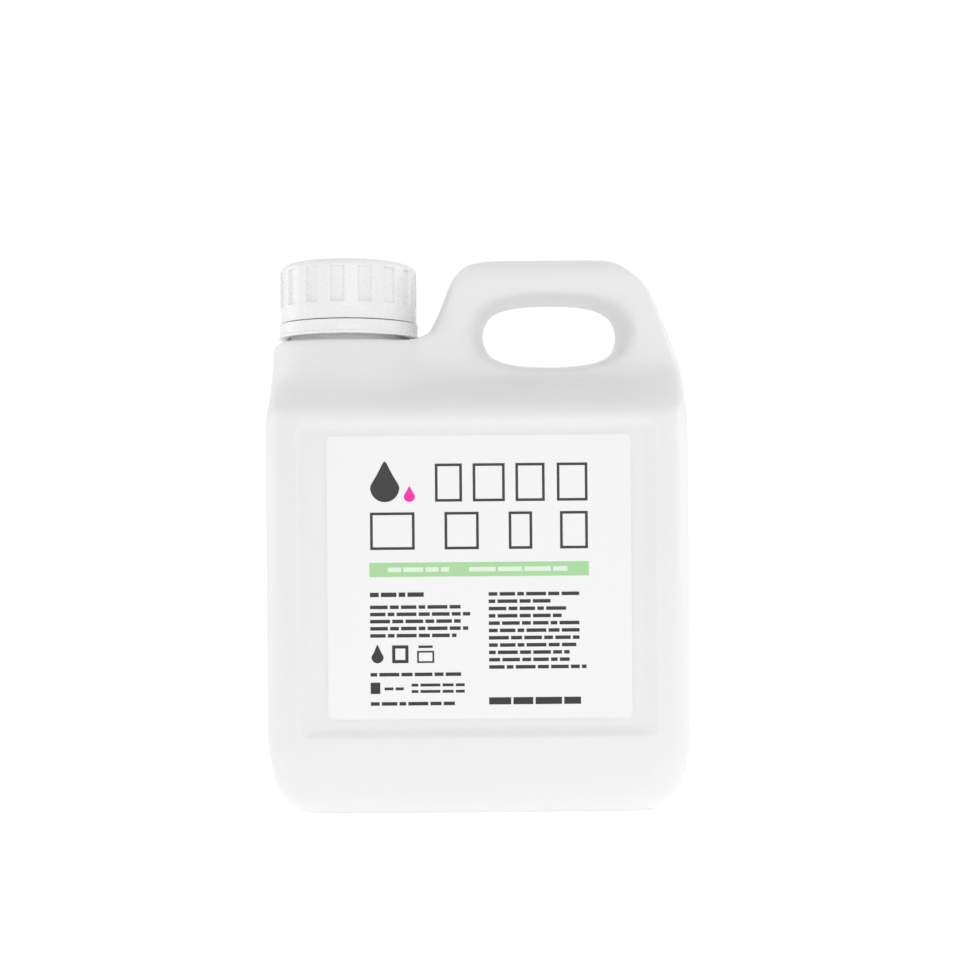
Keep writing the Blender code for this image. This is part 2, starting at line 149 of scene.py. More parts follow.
# %% [markdown]
# ## The jerrycan's block
# The real jerrycan is one blow-moulded shell: a body with a deep shoulder, a round tower that
# carries the neck, and a handle that is a hollow tube with a finger hole under it. A smooth mesh of
# such a form starts as a coarse cage, which Subdivision Surface then rounds. The cage starts as a
# cube that is cut into columns and rows, so that there is a line of points wherever the form bends.

# %% Cut a cube into columns
EAVE = 115.5 * MM  # the flat front ends here and the shoulder starts
PLATFORM = 137.1 * MM  # the top of the tower
HANDLE_TOP = 161.4 * MM
HANDLE_HALF_DEPTH = 14.5 * MM
RECESS_EDGE = 50.4 * MM
RECESS_COVE = 47.4 * MM
RECESS_FLAT = 43.8 * MM
TOWER_COLUMNS = [-17 * MM, -31 * MM, -RECESS_FLAT, -RECESS_COVE, -RECESS_EDGE, -56 * MM, -HALF_WIDTH]
LEG_COLUMN = -7 * MM
HOLE_COLUMNS = [3 * MM, 12 * MM, 34 * MM, RECESS_FLAT]
RIGHT_COLUMNS = [RECESS_FLAT, RECESS_COVE, RECESS_EDGE, 56 * MM, HALF_WIDTH]
EAVE_LINE = 30 * MM  # a line along the middle of the shoulder's slope
NEAR = 0.3 * MM  # two cage lines are never nearer than this

make_active(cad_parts["bottle"])
bpy.ops.object.select_all(action="DESELECT")
bpy.ops.mesh.primitive_cube_add(size=1, location=(0, 0, EAVE / 2))
bottle = bpy.context.object
bottle.name = "jerrycan_shell"
bpy.ops.transform.resize(value=(2 * HALF_WIDTH, 2 * HALF_DEPTH, EAVE))
fixed(bottle)
slice_across(bottle, 0, sorted({*TOWER_COLUMNS[:-1], LEG_COLUMN, *HOLE_COLUMNS, *RIGHT_COLUMNS[:-1]}))
slice_across(bottle, 1, (-EAVE_LINE, -HANDLE_HALF_DEPTH, HANDLE_HALF_DEPTH, EAVE_LINE))
leave_edit()
print("block:", len(bottle.data.polygons), "faces")

# %% [markdown]
# ## Grow the tower and the handle
# The strip of the deck between the handle's two faces is extruded up to the tower's platform, and
# its right-hand part again up to the top of the handle. The level cuts come next. The recess for
# the label needs three close rows at each end, so that smoothing leaves its middle flat.

# %% Extrude the deck, then cut the levels
HEEL = 4.5 * MM
TAPER_TOP = 18.5 * MM
RECESS_BOTTOM = 23 * MM
RECESS_TOP = 111.5 * MM
RECESS_MARGIN = 2.4 * MM
recess_rows = [RECESS_BOTTOM + step * RECESS_MARGIN for step in range(3)]
recess_rows += [RECESS_TOP - step * RECESS_MARGIN for step in range(3)]
tower_rows = {130 * MM: 25.4 * MM, 133.5 * MM: 24.3 * MM, PLATFORM: 23.4 * MM}  # height: radius
LAST_HOLE_ROW = 148.4 * MM
left_edge = {139.4 * MM: -14.6 * MM, 143 * MM: -12.5 * MM, LAST_HOLE_ROW: -10.2 * MM, 154 * MM: -8.2 * MM}
right_edge = {
    130 * MM: 61.3 * MM,
    133.5 * MM: 60.1 * MM,
    PLATFORM: 58.7 * MM,
    139.4 * MM: 57.9 * MM,
    143 * MM: 56.5 * MM,
    LAST_HOLE_ROW: 54.3 * MM,
    154 * MM: 51.6 * MM,
}


def grow_up(start, top, leftmost):
    """Extrude the handle's strip of the deck at one height, from a column onwards, to another."""

    def on_strip(middle, normal):
        level = abs(middle.z - start) < NEAR and normal.z > 0.9
        return level and abs(middle.y) < HANDLE_HALF_DEPTH and middle.x > leftmost

    pick_faces(bottle, on_strip)
    bpy.ops.mesh.extrude_region_move(TRANSFORM_OT_translate={"value": (0, 0, top - start)})


grow_up(EAVE, PLATFORM, -HALF_WIDTH)
grow_up(PLATFORM, HANDLE_TOP, TOWER_COLUMNS[0])
slice_across(bottle, 2, [HEEL, TAPER_TOP, *recess_rows, *tower_rows, *left_edge])
leave_edit()
print("with tower and handle:", len(bottle.data.polygons), "faces")

# %% [markdown]
# ## Open the finger hole
# Bridge Edge Loops does this in one step: the faces over the hole are picked on the handle's front
# and back, and the bridge removes both and joins their rims with a tunnel.


# %% Bridge the hole
def in_hole(x, z):
    across = HOLE_COLUMNS[0] - NEAR < x < HOLE_COLUMNS[-1] + NEAR
    return across and min(tower_rows) - NEAR < z < LAST_HOLE_ROW + NEAR


pick_faces(
    bottle,
    lambda middle, normal: abs(abs(middle.y) - HANDLE_HALF_DEPTH) < NEAR
    and abs(normal.y) > 0.9
    and in_hole(middle.x, middle.z),
)
bpy.ops.mesh.bridge_edge_loops()
MIDDLE_LINE = 7.5 * MM
slice_across(bottle, 1, (-MIDDLE_LINE, 0, MIDDLE_LINE))
leave_edit()
print("with its hole:", len(bottle.data.polygons), "faces")

# %% [markdown]
# ## Shape the cage
# No operator gives the swelling tower, the gabled shoulder and the bent handle, so here the cage's
# points are moved by code: each one goes from its place on the block to its place on the jerrycan.
# Upright walls come first: their corners are rounded, and the foot of the body draws in to the base.


# %% Where the walls, base and label recess go
CORNER_RADIUS = 12.5 * MM
BASE_SIZE = Vector((53.4, 31.8)) * MM
HEEL_SIZE = Vector((59.3, 35.6)) * MM
RECESS_DEPTH = 1.6 * MM
COVE_DEPTH = 1.3 * MM


def same(a, b):
    return abs(a - b) < 0.01 * MM


def recess_depth(x, z):
    """How far the label recess sinks the front at a cage point."""
    if abs(x) > RECESS_COVE + NEAR or not RECESS_BOTTOM + NEAR < z < RECESS_TOP - NEAR:
        return 0
    return COVE_DEPTH if same(abs(x), RECESS_COVE) else RECESS_DEPTH


def wall_point(x, y, z):
    """A point of the upright walls or the base, with the upright corners rounded."""
    centre = Vector((HALF_WIDTH - CORNER_RADIUS, HALF_DEPTH - CORNER_RADIUS))
    on_wall = same(abs(x), HALF_WIDTH) or same(abs(y), HALF_DEPTH)
    if on_wall and abs(x) > centre.x and abs(y) > centre.y:
        outward = Vector((abs(x), abs(y))) - centre
        rounded = centre + outward.normalized() * CORNER_RADIUS
        x, y = math.copysign(rounded.x, x), math.copysign(rounded.y, y)
    if same(abs(y), HALF_DEPTH):
        y -= math.copysign(recess_depth(x, z), y)
    size = BASE_SIZE if same(z, 0) else HEEL_SIZE if same(z, HEEL) else Vector((HALF_WIDTH, HALF_DEPTH))
    return Vector((x * size.x / HALF_WIDTH, y * size.y / HALF_DEPTH, z))


# %% [markdown]
# The tower is round. Its cage points are spread evenly round a ring at each level, and the ring is
# cut off flat where it would pass the body's end wall. The shoulder is a slope from the front edge
# up to the tower's foot or, further right, up to the foot of the handle.

# %% Where the tower and shoulder go
RING_STEP = math.radians(18)
TOWER_FOOT = 123 * MM
TOWER_FOOT_RADIUS = 27.8 * MM
SHOULDER_TOP = 125 * MM
HANDLE_FOOT_SPREAD = 1 * MM
HANDLE_FOOT_REACH = 0.4 * MM


def nearest(places, value):
    return min(places, key=lambda place: abs(place - value))


def tower_point(x, y, radius):
    column = TOWER_COLUMNS.index(nearest(TOWER_COLUMNS, x))
    rank = round(abs(y) / MIDDLE_LINE)  # 0 on the middle line, 2 at the handle's face
    inward = 1.0
    if column == 0:
        step = rank
    elif column == len(TOWER_COLUMNS) - 1:
        step = 10 - rank
    else:
        step = 2 + column
        inward = abs(y) / HANDLE_HALF_DEPTH
    angle = math.copysign(step * RING_STEP, y)
    around = NECK_X + radius * math.cos(angle)
    return max(around, -HALF_WIDTH), radius * math.sin(angle) * inward


def shoulder_foot(x, y):
    """Where the shoulder meets the tower, left of the handle, or the handle itself."""
    if x < TOWER_COLUMNS[0] + NEAR:
        return Vector((*tower_point(x, y, TOWER_FOOT_RADIUS), TOWER_FOOT))
    spread = HANDLE_FOOT_SPREAD if same(abs(y), HANDLE_HALF_DEPTH) else 0
    reach = HANDLE_FOOT_REACH if same(x, HALF_WIDTH) else 0
    return Vector((x + reach, y + math.copysign(spread, y), SHOULDER_TOP))


def shoulder_point(x, y, z):
    if same(abs(y), HANDLE_HALF_DEPTH) or abs(y) < HANDLE_HALF_DEPTH:
        return shoulder_foot(x, y)
    eave = wall_point(x, math.copysign(HALF_DEPTH, y), z)
    return (eave + shoulder_foot(x, math.copysign(HANDLE_HALF_DEPTH, y))) / 2


# %% [markdown]
# The handle is a tube with soft edges. The finger hole is a slot with round ends, and it flares
# outwards to the handle's faces, most of all at its two ends, so that it is soft on the fingers.

# %% Where the handle and finger hole go
HANDLE_EDGE_PULL = 1.3 * MM
EDGE_SLANT = math.radians(20)
HOLE_LEFT, HOLE_RIGHT = 1.9 * MM, 43.2 * MM
HOLE_BOTTOM, HOLE_TOP = 128.9 * MM, 149.1 * MM
HOLE_FLARE = Vector((3.8, 1.2)) * MM
LEFT_CORNER, LEFT_CORNER_RADIUS = Vector((1.6, 151.9)) * MM, 9.6 * MM
RIGHT_CORNER, RIGHT_CORNER_RADIUS = Vector((37.6, 148.2)) * MM, 13.2 * MM


def hole_point(x, z, flared):
    radius = (HOLE_TOP - HOLE_BOTTOM) / 2
    middle = (HOLE_TOP + HOLE_BOTTOM) / 2
    centre_x = min(max(x, HOLE_LEFT + radius), HOLE_RIGHT - radius)
    outward = Vector((x - centre_x, z - middle)).normalized()
    spot = Vector((centre_x, middle)) + outward * radius
    return spot + Vector((outward.x * HOLE_FLARE.x, outward.y * HOLE_FLARE.y)) * flared


def edge_point(spot, facing, y):
    """A point on the handle's outer edge, drawn in towards the middle at the front and back."""
    share = (abs(y) / HANDLE_HALF_DEPTH) ** 4
    drawn = spot - Vector((math.cos(facing), math.sin(facing))) * HANDLE_EDGE_PULL * share
    depth = y - math.copysign(HANDLE_EDGE_PULL * 0.6 * share, y)
    return Vector((drawn.x, depth, drawn.y))


def corner_point(centre, radius, degrees, y):
    facing = math.radians(degrees)
    spot = centre + Vector((math.cos(facing), math.sin(facing))) * radius
    return edge_point(spot, facing, y)


def handle_top_point(x, y):
    if x > HOLE_COLUMNS[2] + NEAR:
        place = RIGHT_COLUMNS.index(nearest(RIGHT_COLUMNS, x))
        return corner_point(RIGHT_CORNER, RIGHT_CORNER_RADIUS, 86 - 12 * place, y)
    if x < HOLE_COLUMNS[0] - NEAR:
        return corner_point(LEFT_CORNER, LEFT_CORNER_RADIUS, 146 if x < LEG_COLUMN - NEAR else 118, y)
    return edge_point(Vector((x, HANDLE_TOP)), math.pi / 2, y)


def handle_side_point(x, y, z):
    """A point of the handle below its top: an outer edge, a rim of the hole, or between."""
    row = nearest(right_edge, z)
    if same(x, TOWER_COLUMNS[0]) and row in left_edge:
        return edge_point(Vector((left_edge[row], z)), math.pi - EDGE_SLANT, y)
    if same(x, HALF_WIDTH):
        return edge_point(Vector((right_edge[row], z)), EDGE_SLANT, y)
    if in_hole(x, z):
        spot = hole_point(x, z, same(abs(y), HANDLE_HALF_DEPTH))
        return Vector((spot.x, y, spot.y))
    beside = hole_point(math.copysign(HALF_WIDTH, x), z, True).x
    if x > HOLE_COLUMNS[-1]:
        share = (x - HOLE_COLUMNS[-1]) / (HALF_WIDTH - HOLE_COLUMNS[-1])
        return Vector((beside + (right_edge[row] - beside) * share, y, z))
    if same(x, LEG_COLUMN):
        edge = left_edge.get(row, tower_point(TOWER_COLUMNS[0], HANDLE_HALF_DEPTH, 23.4 * MM)[0])
        return Vector(((beside + edge) / 2, y, z))
    return Vector((x, y, z))


# %% [markdown]
# Every point of the cage is in one of these regions, so one loop can shape the whole of it. The
# edges round the label recess get a crease, which keeps them crisp when the cage is smoothed.


# %% Move every point, then crease the recess
def cage_point(x, y, z):
    if z < EAVE - NEAR or same(abs(y), HALF_DEPTH):
        return wall_point(x, y, z)
    if same(z, EAVE):
        return shoulder_point(x, y, z)
    if same(z, HANDLE_TOP):
        return handle_top_point(x, y)
    if x < TOWER_COLUMNS[0] + NEAR and z < PLATFORM + NEAR:
        return Vector((*tower_point(x, y, tower_rows[nearest(tower_rows, z)]), z))
    return handle_side_point(x, y, z)


def round_recess(one, other):
    middle = (one + other) / 2
    along = RECESS_BOTTOM - NEAR < middle.z < RECESS_TOP + NEAR
    on_side = same(abs(middle.x), RECESS_EDGE) and along
    on_end = abs(middle.x) < RECESS_EDGE + NEAR and (
        same(middle.z, RECESS_BOTTOM) or same(middle.z, RECESS_TOP)
    )
    return same(abs(middle.y), HALF_DEPTH) and (on_side or on_end)


pick_edges(bottle, round_recess)
bpy.ops.transform.edge_crease(value=0.7)
leave_edit()
for vertex in bottle.data.vertices:
    vertex.co = cage_point(*vertex.co)
cage = bottle.copy()
cage.data = bottle.data.copy()
bpy.context.scene.collection.objects.link(cage)
finish_with(bottle, "SUBSURF", levels=3, render_levels=3)
print("smooth outside:", count(bottle), "triangles, size", [round(v / MM, 1) for v in bottle.dimensions])

# %% [markdown]
# ## Hollow it out
# Blow moulding leaves an even wall, about 0.9 mm thick here, all the way up through the handle. The
# inside is the same cage with one level less smoothing, drawn in by the wall with Displace, and
# taken away with a Boolean.

# %% The inside, and a copy of it for the liquid
WALL = 0.9 * MM
LIQUID_GAP = 0.4 * MM


def cut_with(piece, other, operation):
    """Join, cut or keep what two closed pieces share. The other piece is used up."""
    finish_with(piece, "BOOLEAN", operation=operation, solver="EXACT", object=other)
    bpy.data.objects.remove(other, do_unlink=True)


def copy_of(piece, name):
    made = piece.copy()
    made.data = piece.data.copy()
    made.name = name
    bpy.context.scene.collection.objects.link(made)
    return made


def drawn_in(piece, distance, levels):
    finish_with(piece, "SUBSURF", levels=levels, render_levels=levels)
    return finish_with(piece, "DISPLACE", mid_level=0, strength=-distance)


inside = drawn_in(copy_of(cage, "inside"), WALL, 2)
liquid = drawn_in(copy_of(cage, "liquid"), WALL + LIQUID_GAP, 2)
bpy.data.objects.remove(cage, do_unlink=True)
cut_with(bottle, inside, "DIFFERENCE")
print("hollow:", count(bottle), "triangles")

# %% [markdown]
# ## The neck
# The neck is a standard 38 mm finish: a straight wall with a bead near its foot, which the tamper
# band clips under. A cylinder is cut at the bead's two edges, the faces between them are pushed
# outwards, and Bevel softens the corners. Then the neck is joined to the jerrycan and bored through.

# %% Make the neck and bore it
NECK_RADIUS = 17.5 * MM
NECK_BORE = 14.6 * MM
NECK_TOP = liner_low.z - 0.3 * MM
BEAD_BOTTOM, BEAD_TOP = 139.6 * MM, 141.4 * MM
BEAD_HEIGHT = 1.1 * MM


def round_of(name, radius, bottom, top, sides):
    """A cylinder on the neck's middle line."""
    leave_edit()
    bpy.ops.object.select_all(action="DESELECT")
    bpy.ops.mesh.primitive_cylinder_add(
        vertices=sides, radius=radius, depth=top - bottom, location=(NECK_X, 0, (top + bottom) / 2)
    )
    made = bpy.context.object
    made.name = name
    return fixed(made)


neck = round_of("neck", NECK_RADIUS, PLATFORM - 0.6 * WALL, NECK_TOP, 128)
slice_across(neck, 2, (BEAD_BOTTOM, BEAD_TOP))
pick_faces(neck, lambda middle, normal: BEAD_BOTTOM < middle.z < BEAD_TOP and abs(normal.z) < 0.1)
bpy.ops.mesh.extrude_region_shrink_fatten(TRANSFORM_OT_shrink_fatten={"value": BEAD_HEIGHT})
pick_edges(
    neck,
    lambda one, other: same(one.z, other.z)
    and one.z > BEAD_BOTTOM - NEAR
    and math.hypot(one.x - NECK_X, one.y) > NECK_RADIUS - NEAR,
)
bpy.ops.mesh.bevel(offset=0.35 * MM, segments=3)
leave_edit()
bore = round_of("bore", NECK_BORE, PLATFORM - 3 * WALL, NECK_TOP + 2 * WALL, 128)
cut_with(bottle, neck, "UNION")
cut_with(bottle, bore, "DIFFERENCE")
print("with its neck:", count(bottle), "triangles")

# %% [markdown]
# ## The neck's thread
# The thread of a 38 mm neck climbs 4.2 mm a turn and is right-handed, so the cap rises when it turns
# anticlockwise seen from above. The Screw modifier sweeps a small profile up such a helix.

# %% Sweep a thread
PITCH = 4.2 * MM
THREAD_TURNS = 1.5


def helix(name, root, crest, start, turns):
    """A ridge from one radius to another that climbs from a start height. Its ends are closed."""
    leave_edit()
    bpy.ops.object.select_all(action="DESELECT")
    bpy.ops.mesh.primitive_plane_add(size=1, location=(NECK_X, 0, 0))
    made = bpy.context.object
    made.name = name
    corners = [(root, 0), (crest, 0.45 * MM), (crest, 1.05 * MM), (root, 1.5 * MM)]
    order = [0, 1, 3, 2]  # a plane's corners go left to right, then back to front
    for number, (radius, height) in zip(order, corners):
        made.data.vertices[number].co = (radius, 0, start + height)
    pick_faces(made, lambda middle, normal: True)
    bpy.ops.mesh.delete(type="ONLY_FACE")
    leave_edit()
    finish_with(
        made, "SCREW", angle=turns * 2 * math.pi, screw_offset=turns * PITCH, steps=120, render_steps=120
    )
    fixed(made)
    edit(made, "EDGE")
    bpy.ops.mesh.select_all(action="SELECT")
    bpy.ops.mesh.fill_holes(sides=4)
    bpy.ops.mesh.select_all(action="SELECT")
    bpy.ops.mesh.normals_make_consistent(inside=False)
    leave_edit()
    return made


def join(piece, *others):
    make_active(piece)
    for other in others:
        other.select_set(True)
    bpy.ops.object.join()
    return piece


neck_thread = helix("neck thread", NECK_RADIUS - 0.2 * MM, 18.45 * MM, 147 * MM, THREAD_TURNS)
join(bottle, neck_thread)
print("with its thread:", count(bottle), "triangles")

# %% [markdown]
# ## The screw cap
# The cap is injection moulded: a cup with 16 broad ribs and narrow, flat-floored grooves between
# them. It starts as a cylinder with ten sides to a rib and groove. The grooves take five sides each.
# Bevel rounds the top edge first, because the grooves run out into it.

# %% Shape the cap from a cylinder
RIBS = 16
SIDES = RIBS * 10
FIRST_GROOVE = math.radians(-93.7)
GROOVE_HALF_ANGLE = math.radians(5.6)
GROOVE_DEPTH = 0.85 * MM
GROOVE_BOTTOM, GROOVE_TOP = 147.8 * MM, 158.2 * MM
CAP_WALL = 1.8 * MM
CAP_TOP_WALL = 1.3 * MM
CAP_BOTTOM = cap_low.z


def turn_from_groove(spot):
    """The angle round the neck's middle line from the nearest groove's middle."""
    rib = 2 * math.pi / RIBS
    turn = (math.atan2(spot.y, spot.x - NECK_X) - FIRST_GROOVE) % rib
    return min(turn, rib - turn)


def out_from_neck(spot):
    return math.hypot(spot.x - NECK_X, spot.y)


cap = round_of("cap", CAP_RADIUS, CAP_BOTTOM, CAP_TOP, SIDES)
edit(cap)
bpy.ops.mesh.select_all(action="SELECT")
start_angle = FIRST_GROOVE + math.radians(5.625) - math.pi / 2
bpy.ops.transform.rotate(
    value=-(start_angle % (2 * math.pi / SIDES)), orient_axis="Z", center_override=(NECK_X, 0, 0)
)
pick_edges(cap, lambda one, other: same(one.z, CAP_TOP) and same(other.z, CAP_TOP))
bpy.ops.mesh.bevel(offset=2.3 * MM, segments=7, profile=0.5)
slice_across(cap, 2, (GROOVE_BOTTOM, GROOVE_TOP - 1.2 * MM))
leave_edit()

# %% [markdown]
# The grooves' faces are inset and pushed in together, with hardly any slant to their walls. Then the
# cup is opened from below: the bottom face is inset by the wall and pushed up to the inside of the
# top. A small bevel on every sharp edge catches the light, as a moulding's edges do.

# %% Cut the grooves and open the cup
pick_faces(
    cap,
    lambda middle, normal: turn_from_groove(middle) < GROOVE_HALF_ANGLE
    and GROOVE_BOTTOM < middle.z < GROOVE_TOP
    and out_from_neck(middle) > 19 * MM
    and normal.z < 0.5,
)
bpy.ops.mesh.inset(thickness=0.1 * MM, depth=-GROOVE_DEPTH, use_individual=False)
pick_faces(cap, lambda middle, normal: normal.z < -0.99 and same(middle.z, CAP_BOTTOM))
bpy.ops.mesh.inset(thickness=CAP_WALL)
bpy.ops.mesh.extrude_region_move(
    TRANSFORM_OT_translate={"value": (0, 0, CAP_TOP - CAP_TOP_WALL - CAP_BOTTOM)}
)
leave_edit()
finish_with(cap, "BEVEL", width=0.13 * MM, segments=2, limit_method="ANGLE", angle_limit=math.radians(40))
cap_thread = helix("cap thread", 19.2 * MM, 18.2 * MM, 145.3 * MM, THREAD_TURNS)
join(cap, cap_thread)
cap.name = "ribbed_cap"
print("cap:", count(cap), "triangles")

# %% [markdown]
# ## The tamper band
# The band stays on the neck when the cap first turns. It is a short ring whose outside is drawn in a
# little between its two rims. The thin bridges that once held it to the cap are left out.

# %% Shape the band from a cylinder
BAND_RADIUS = 21.4 * MM
BAND_INNER = 18.95 * MM
band = round_of("tamper_ring", BAND_RADIUS, band_low.z, band_high.z, SIDES)
BAND_BEAD = band_low.z + 0.75 * MM
slice_across(band, 2, (BAND_BEAD, BAND_BEAD + 0.3 * MM, band_high.z - 0.8 * MM))
pick_faces(
    band,
    lambda middle, normal: BAND_BEAD + 0.3 * MM < middle.z < band_high.z - 0.8 * MM
    and abs(normal.z) < 0.1,
)
bpy.ops.transform.resize(value=(0.987, 0.987, 1), center_override=(NECK_X, 0, 0))
pick_faces(band, lambda middle, normal: abs(normal.z) > 0.99)
bpy.ops.mesh.inset(thickness=BAND_RADIUS - BAND_INNER)
bpy.ops.mesh.bridge_edge_loops()
leave_edit()
finish_with(band, "BEVEL", width=0.15 * MM, segments=2, limit_method="ANGLE", angle_limit=math.radians(40))
print("band:", count(band), "triangles")

# %% [markdown]
# ## The sealing disc
# A foam disc seals the cap on the neck's rim, which leaves a ring pressed into it.

# %% Shape the disc
disc = round_of("sealing_disc", 18.4 * MM, liner_low.z, liner_high.z, 96)
pick_faces(disc, lambda middle, normal: normal.z < -0.99)
bpy.ops.mesh.inset(thickness=18.4 * MM - NECK_RADIUS - 0.1 * MM)
bpy.ops.mesh.inset(thickness=0.2 * MM, depth=-0.15 * MM)
bpy.ops.mesh.inset(thickness=NECK_RADIUS - NECK_BORE - 0.2 * MM)
bpy.ops.mesh.inset(thickness=0.2 * MM, depth=0.15 * MM)
leave_edit()
finish_with(disc, "BEVEL", width=0.08 * MM, segments=2, limit_method="ANGLE", angle_limit=math.radians(30))
print("disc:", count(disc), "triangles")

# %% [markdown]
# ## The liquid
# The soap fills the inside up to just under the shoulder's top. It was copied from the inner shape
# before, so all that is left is to cut it level with Bisect, which can also fill the cut.

# %% Level the soap
edit(liquid)
bpy.ops.mesh.select_all(action="SELECT")
bpy.ops.mesh.bisect(
    plane_co=(0, 0, liquid_high.z), plane_no=(0, 0, 1), clear_outer=True, use_fill=True
)
leave_edit()
liquid.name = "soap"
print("soap:", count(liquid), "triangles")

# %% [markdown]
# ## The label
# The label is a thin film on the recessed panel. A plane is made the label's size, its corners are
# rounded with a vertex bevel, and it is extruded by the film's 0.1 mm.

# %% Cut the label
PANEL = -HALF_DEPTH + RECESS_DEPTH
FILM = 0.1 * MM
LABEL_FRONT = PANEL - 0.02 * MM - FILM
label_size = label_high - label_low


def flat_piece(name, left, right, bottom, top, y):
    """A plane that faces the front, between these sides."""
    leave_edit()
    bpy.ops.object.select_all(action="DESELECT")
    bpy.ops.mesh.primitive_plane_add(
        size=1, location=((left + right) / 2, y, (bottom + top) / 2), rotation=(math.pi / 2, 0, 0)
    )
    made = bpy.context.object
    made.name = name
    made.scale = (right - left, top - bottom, 1)
    return fixed(made)


def thicken(piece, depth):
    """Give a flat piece that faces the front some thickness behind it."""
    edit(piece)
    bpy.ops.mesh.select_all(action="SELECT")
    bpy.ops.mesh.extrude_region_move(TRANSFORM_OT_translate={"value": (0, depth, 0)})
    bpy.ops.mesh.select_all(action="SELECT")
    bpy.ops.mesh.normals_make_consistent(inside=False)
    leave_edit()


label = flat_piece("label", label_low.x, label_high.x, label_low.z, label_high.z, LABEL_FRONT)
edit(label, "VERT")
bpy.ops.mesh.select_all(action="SELECT")
bpy.ops.mesh.bevel(offset=1.5 * MM, segments=6, affect="VERTICES")
thicken(label, FILM)
print(f"label: {label_size.x / MM:.1f} x {label_size.z / MM:.1f} mm")

# %% [markdown]
# ## Greeked print
# A label needs print to look like one, and this one carries no words: each place for lettering is a
# plain bar, block or outline. Places are measured in millimetres from the label's top left corner.
# Each shape is a film of ink, hardly thicker than nothing, that stands in front of the label.

# %% Shapes for ink
INK_FILM = 0.02 * MM
dark_ink, green_ink, pink_ink, pale_ink = [], [], [], []


def ink_block(ink, left, right, top, bottom, lift=1):
    """A filled block of ink. Distances are millimetres from the label's top left corner."""
    y = LABEL_FRONT - lift * INK_FILM
    sides = label_low.x + left * MM, label_low.x + right * MM
    block = flat_piece("ink", *sides, label_high.z - bottom * MM, label_high.z - top * MM, y)
    ink.append(block)
    return block


def ink_outline(ink, left, right, top, bottom, stroke):
    """A frame of ink: the block's face is inset by the stroke, and the middle is deleted."""
    block = ink_block(ink, left, right, top, bottom)
    edit(block)
    bpy.ops.mesh.select_all(action="SELECT")
    bpy.ops.mesh.inset(thickness=stroke * MM)
    bpy.ops.mesh.delete(type="FACE")
    leave_edit()
    return block


def ink_line(ink, left, right, middle, height=1.0, words=(5, 8, 4, 7, 3, 9), lift=1):
    """A line of small print as bars the length of words, with a space between them."""
    letter, start, number = 0.62, left, round(middle * 10) % len(words)
    while start < right - 2 * letter:
        end = min(start + words[number % len(words)] * letter, right)
        ink_block(ink, start, end, middle - height / 2, middle + height / 2, lift)
        start, number = end + letter, number + 1


def ink_drop(ink, left, width, top, height):
    """A drop: a disc whose top point is drawn up, and its neighbours with it."""
    radius = width / 2 * MM
    centre = Vector((label_low.x + (left + width / 2) * MM, 0, label_high.z - (top + height) * MM + radius))
    leave_edit()
    bpy.ops.object.select_all(action="DESELECT")
    bpy.ops.mesh.primitive_circle_add(
        vertices=48, radius=radius, fill_type="NGON", rotation=(math.pi / 2, 0, 0),
        location=(centre.x, LABEL_FRONT - INK_FILM, centre.z),
    )
    drop = fixed(bpy.context.object)
    rise = height * MM - 2 * radius
    for vertex in drop.data.vertices:
        up = max((vertex.co.z - centre.z) / radius, 0)
        vertex.co.z += rise * up**3
        vertex.co.x = centre.x + (vertex.co.x - centre.x) * (1 - 0.55 * up**1.5)
    ink.append(drop)
    return drop


# %% Lay out the print
TITLE_STROKE = 0.75
ink_drop(dark_ink, 12.2, 8.2, 7.2, 11.4)
ink_drop(pink_ink, 21.6, 3.2, 14.2, 4.4)
for left, right in ((30.4, 38), (41, 50), (53, 61.2), (64.6, 73.2)):
    ink_outline(dark_ink, left, right, 7.9, 18.6, TITLE_STROKE)
for left, right in ((12.1, 24.6), (33, 42.6), (51, 57.6), (65.4, 73.2)):
    ink_outline(dark_ink, left, right, 21.5, 32, TITLE_STROKE)
ink_block(green_ink, 11.8, 73.4, 35.6, 39.6)
ink_line(pale_ink, 17, 34.2, 37.6, 1.3, words=(6, 9), lift=2)
ink_line(pale_ink, 39.8, 67.4, 37.6, 1.3, words=(12, 11), lift=2)
ink_line(dark_ink, 11.9, 27, 44.6, 1.25)
for line, right in enumerate((38, 40, 37.7, 39.4, 36.1)):
    ink_line(dark_ink, 11.9, right, 48.1 + 2 * line)
for line, right in enumerate((70.9, 63.8, 68.6, 67.5, 71.1, 72, 72.3, 69.7, 67.8, 67.8, 72.5)):
    ink_line(dark_ink, 45.2, right, 44.6 + 2.05 * line)
ink_drop(dark_ink, 12.2, 3.4, 58.6, 5.2)
ink_outline(dark_ink, 18, 22.6, 58.8, 63.8, 0.9)
ink_outline(dark_ink, 25, 29.8, 60.4, 63.8, 0.5)
ink_block(dark_ink, 25.4, 29.4, 58.9, 59.6)
ink_line(dark_ink, 11.9, 37.5, 67)
ink_block(dark_ink, 11.9, 14.6, 69.2, 72.4)
ink_line(dark_ink, 15.8, 21.2, 71, 0.8)
ink_line(dark_ink, 23.4, 38.3, 70, 0.8)
ink_line(dark_ink, 23.4, 38.3, 71.8, 0.8)
ink_line(dark_ink, 11.9, 35.5, 75.2)
ink_line(dark_ink, 45.1, 70.9, 74.6, 2.0, words=(9, 12, 10))


def print_piece(ink, name):
    piece = join(ink[0], *ink[1:]) if len(ink) > 1 else ink[0]
    thicken(piece, 0.6 * INK_FILM)
    piece.name = name
    print(name, count(piece), "triangles")
    return piece


dark_print = print_piece(dark_ink, "print_dark")
green_print = print_piece(green_ink, "print_green")
pink_print = print_piece(pink_ink, "print_pink")
pale_print = print_piece(pale_ink, "print_pale")

# %% [markdown]
# ## Colours and nodes
# Colours are written as sRGB hex values, as a colour picker gives them. Shaders work with linear
# light, so one function converts them. Another adds a node with its settings and its links.


